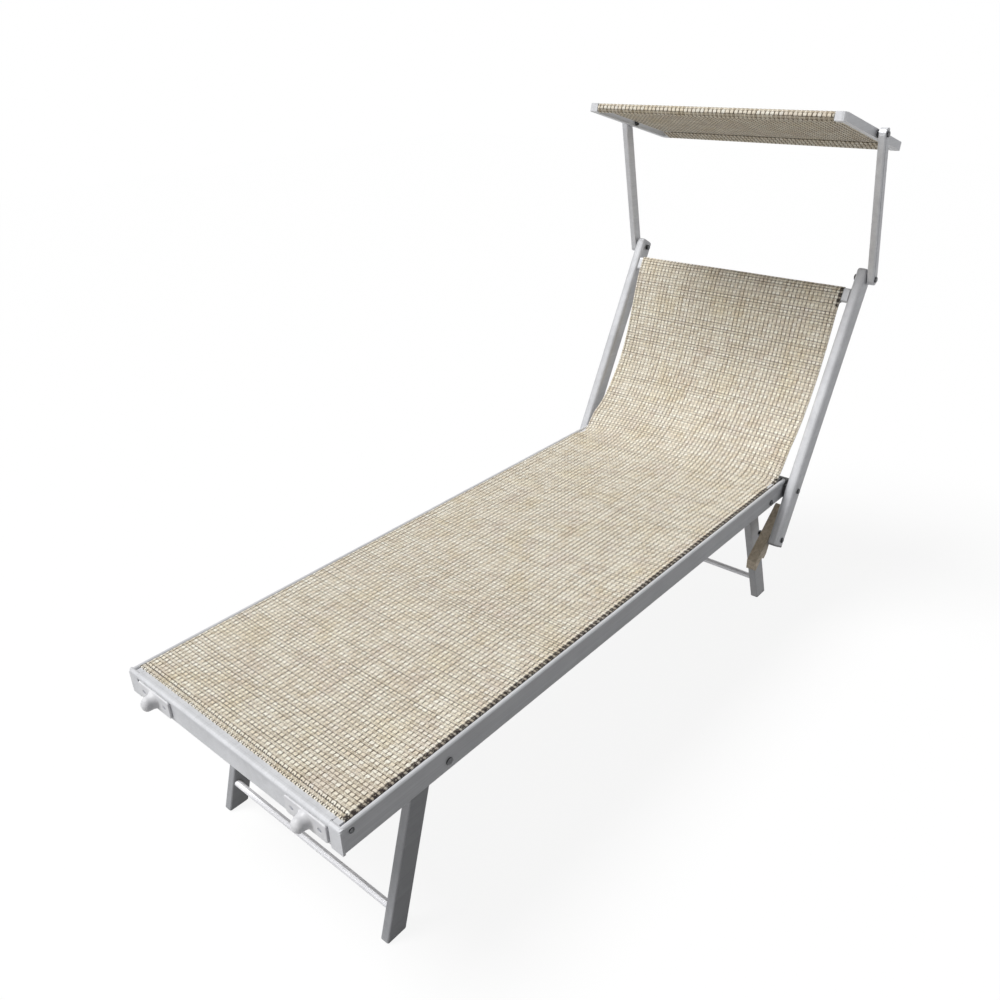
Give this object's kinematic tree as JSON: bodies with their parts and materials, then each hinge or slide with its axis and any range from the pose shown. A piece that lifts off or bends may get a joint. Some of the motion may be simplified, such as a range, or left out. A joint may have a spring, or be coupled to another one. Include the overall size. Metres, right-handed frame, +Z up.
{
  "type": "sun lounger with canopy",
  "caption": "Folding sun lounger: woven sling on an aluminium frame with a reclining back, fold-in legs and a swinging, tilting fabric sunshade.",
  "frame": {"origin": "on the floor under the middle of the whole lounger's box", "axes": "+X across to the side that the picture shows nearer, +Y from the foot end to the head end, +Z up"},
  "size_m": [0.7076, 1.8384, 1.2422],
  "materials": {
    "aluminium": "satin anodised",
    "sling_fabric": "open woven mesh of coated cream yarn with brown and taupe threads",
    "white_plastic": "moulded, slightly waxy",
    "grey_plastic": "moulded, fine grain",
    "black_plastic": "moulded, fine grain",
    "tan_plastic": "moulded, weathered",
    "chromed_steel": "bright plated"
  },
  "bodies": {
    "seat_frame": {"seat_rail_left": "aluminium", "seat_rail_right": "aluminium", "foot_crossbar": "aluminium", "middle_crossbar": "aluminium", "rear_crossbar": "aluminium", "hinge_bracket_left": "black_plastic", "hinge_bracket_right": "black_plastic", "corner_bolt_left": "chromed_steel", "corner_bolt_right": "chromed_steel", "front_leg_bolt_left": "chromed_steel", "front_leg_bolt_right": "chromed_steel", "rear_leg_bolt_left": "chromed_steel", "rear_leg_bolt_right": "chromed_steel", "foot_hook_left": "white_plastic", "foot_hook_right": "white_plastic", "hook_screw_inner_left": "chromed_steel", "hook_screw_inner_right": "chromed_steel", "hook_screw_outer_left": "chromed_steel", "hook_screw_outer_right": "chromed_steel", "seat_sling": "sling_fabric"},
    "front_legs": {"front_leg_left": "aluminium", "front_leg_right": "aluminium", "front_foot_cap_left": "grey_plastic", "front_foot_cap_right": "grey_plastic", "front_cross_tube": "aluminium"},
    "rear_legs": {"rear_leg_left": "aluminium", "rear_leg_right": "aluminium", "rear_foot_cap_left": "grey_plastic", "rear_foot_cap_right": "grey_plastic", "rear_cross_tube": "aluminium"},
    "backrest": {"back_rail_left": "aluminium", "back_rail_right": "aluminium", "back_top_cap_left": "aluminium", "back_top_cap_right": "aluminium", "back_end_cap_left": "grey_plastic", "back_end_cap_right": "grey_plastic", "back_top_bar": "aluminium", "back_sling": "sling_fabric", "hinge_bolt_left": "chromed_steel", "hinge_bolt_right": "chromed_steel", "prop_bolt_left": "chromed_steel", "prop_bolt_right": "chromed_steel"},
    "prop_left": {"prop_left": "tan_plastic"},
    "prop_right": {"prop_right": "tan_plastic"},
    "canopy_arms": {"canopy_arm_left": "aluminium", "canopy_arm_right": "aluminium", "arm_spacer_left": "black_plastic", "arm_spacer_right": "black_plastic", "arm_bolt_left": "chromed_steel", "arm_bolt_right": "chromed_steel"},
    "canopy": {"canopy_rail_left": "aluminium", "canopy_rail_right": "aluminium", "canopy_front_bar": "aluminium", "canopy_rear_bar": "aluminium", "canopy_fabric": "sling_fabric", "canopy_spacer_left": "black_plastic", "canopy_spacer_right": "black_plastic", "canopy_bolt_left": "chromed_steel", "canopy_bolt_right": "chromed_steel"}
  },
  "joints": [
    {"name": "front_leg_fold", "type": "hinge", "parent": "seat_frame", "child": "front_legs", "pos_m": [0, -0.66388, 0.36], "axis": [1, 0, 0], "range_deg": [0, 104]},
    {"name": "rear_leg_fold", "type": "hinge", "parent": "seat_frame", "child": "rear_legs", "pos_m": [0, 0.47712, 0.3545], "axis": [-1, 0, 0], "range_deg": [0, 107]},
    {"name": "backrest_recline", "type": "hinge", "parent": "seat_frame", "child": "backrest", "pos_m": [0, 0.55312, 0.366], "axis": [1, 0, 0], "range_deg": [-43, 15]},
    {"name": "prop_swing_left", "type": "hinge", "parent": "backrest", "child": "prop_left", "pos_m": [-0.2885, 0.49122, 0.25339], "axis": [1, 0, 0], "range_deg": [0, 20]},
    {"name": "prop_swing_right", "type": "hinge", "parent": "backrest", "child": "prop_right", "pos_m": [0.2885, 0.49122, 0.25339], "axis": [1, 0, 0], "range_deg": [0, 20]},
    {"name": "canopy_swing", "type": "hinge", "parent": "backrest", "child": "canopy_arms", "pos_m": [0, 0.8152, 0.84271], "axis": [-1, 0, 0], "range_deg": [-105, 165]},
    {"name": "canopy_tilt", "type": "hinge", "parent": "canopy_arms", "child": "canopy", "pos_m": [0, 0.7502, 1.18021], "axis": [1, 0, 0], "range_deg": [-65, 75]}
  ],
  "couplings": [
    {"joint": "prop_swing_left", "follows": "prop_swing_right", "ratio": 1}
  ]
}
